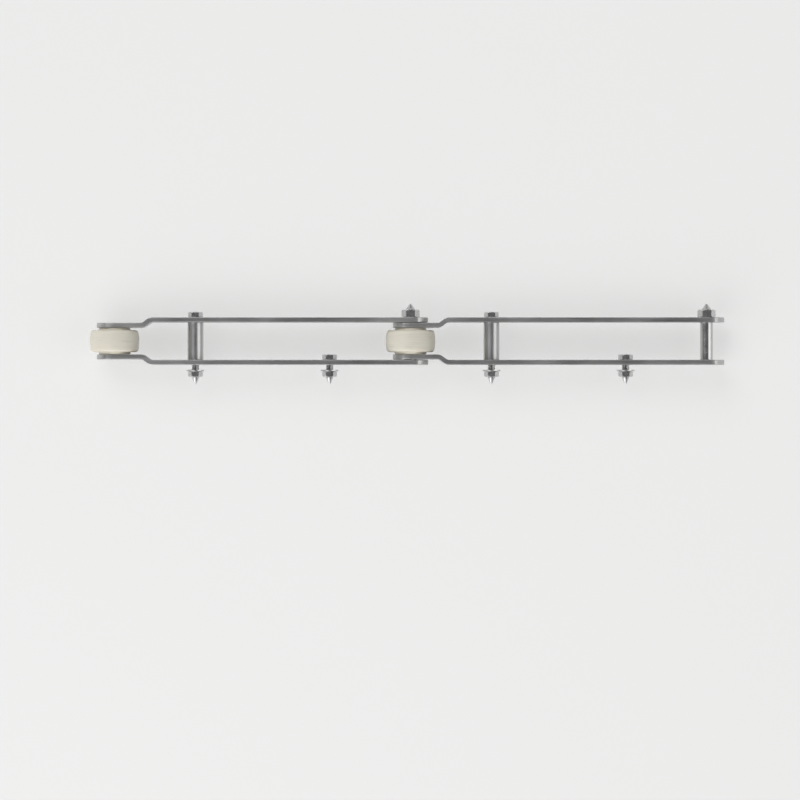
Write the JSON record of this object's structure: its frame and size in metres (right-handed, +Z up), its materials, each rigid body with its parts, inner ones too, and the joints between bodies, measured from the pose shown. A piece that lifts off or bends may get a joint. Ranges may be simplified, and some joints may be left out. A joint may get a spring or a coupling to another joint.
{
  "type": "offset link conveyor chain",
  "caption": "Cranked links of a roller conveyor chain for wastewater scrapers, with bolts for a flight attachment on one side.",
  "frame": {"origin": "centre of the open bush bore at the narrow end of the first link", "axes": "+X along the chain towards the open fork, +Y towards the pin nuts, +Z up; the chain lies on its rollers"},
  "size_m": [0.643, 0.0806, 0.05],
  "materials": {
    "bar_steel": "satin, rolled stainless flat bar",
    "pin_steel": "ground",
    "bush_steel": "turned",
    "tube_steel": "drawn tube, satin",
    "fastener_steel": "machined, semi-bright",
    "roller_polyamide": "moulded, matte"
  },
  "bodies": {
    "link_1": {"link_1_nut_side_bar": "bar_steel", "link_1_attachment_side_bar": "bar_steel", "link_1_bush": "bush_steel", "link_1_pin": "pin_steel", "link_1_pin_nut": "fastener_steel", "link_1_spacer_tube": "tube_steel", "link_1_spacer_bolt": "fastener_steel", "link_1_spacer_bolt_washer": "fastener_steel", "link_1_spacer_bolt_nut": "fastener_steel", "link_1_attachment_bolt": "fastener_steel", "link_1_attachment_bolt_washer": "fastener_steel", "link_1_attachment_bolt_nut": "fastener_steel"},
    "roller_1": {"link_1_roller": "roller_polyamide"},
    "link_2": {"link_2_nut_side_bar": "bar_steel", "link_2_attachment_side_bar": "bar_steel", "link_2_bush": "bush_steel", "link_2_pin": "pin_steel", "link_2_pin_nut": "fastener_steel", "link_2_spacer_tube": "tube_steel", "link_2_spacer_bolt": "fastener_steel", "link_2_spacer_bolt_washer": "fastener_steel", "link_2_spacer_bolt_nut": "fastener_steel", "link_2_attachment_bolt": "fastener_steel", "link_2_attachment_bolt_washer": "fastener_steel", "link_2_attachment_bolt_nut": "fastener_steel"},
    "roller_2": {"link_2_roller": "roller_polyamide"}
  },
  "joints": [
    {"name": "roller_1_spin", "type": "hinge", "parent": "link_1", "child": "roller_1", "pos_m": [0, 0, 0], "axis": [0, 1, 0], "continuous": true},
    {"name": "chain_joint", "type": "hinge", "parent": "link_1", "child": "link_2", "pos_m": [0.3, 0, 0], "axis": [0, 1, 0], "range_deg": [-110, 110]},
    {"name": "roller_2_spin", "type": "hinge", "parent": "link_2", "child": "roller_2", "pos_m": [0.3, 0, 0], "axis": [0, 1, 0], "continuous": true}
  ]
}
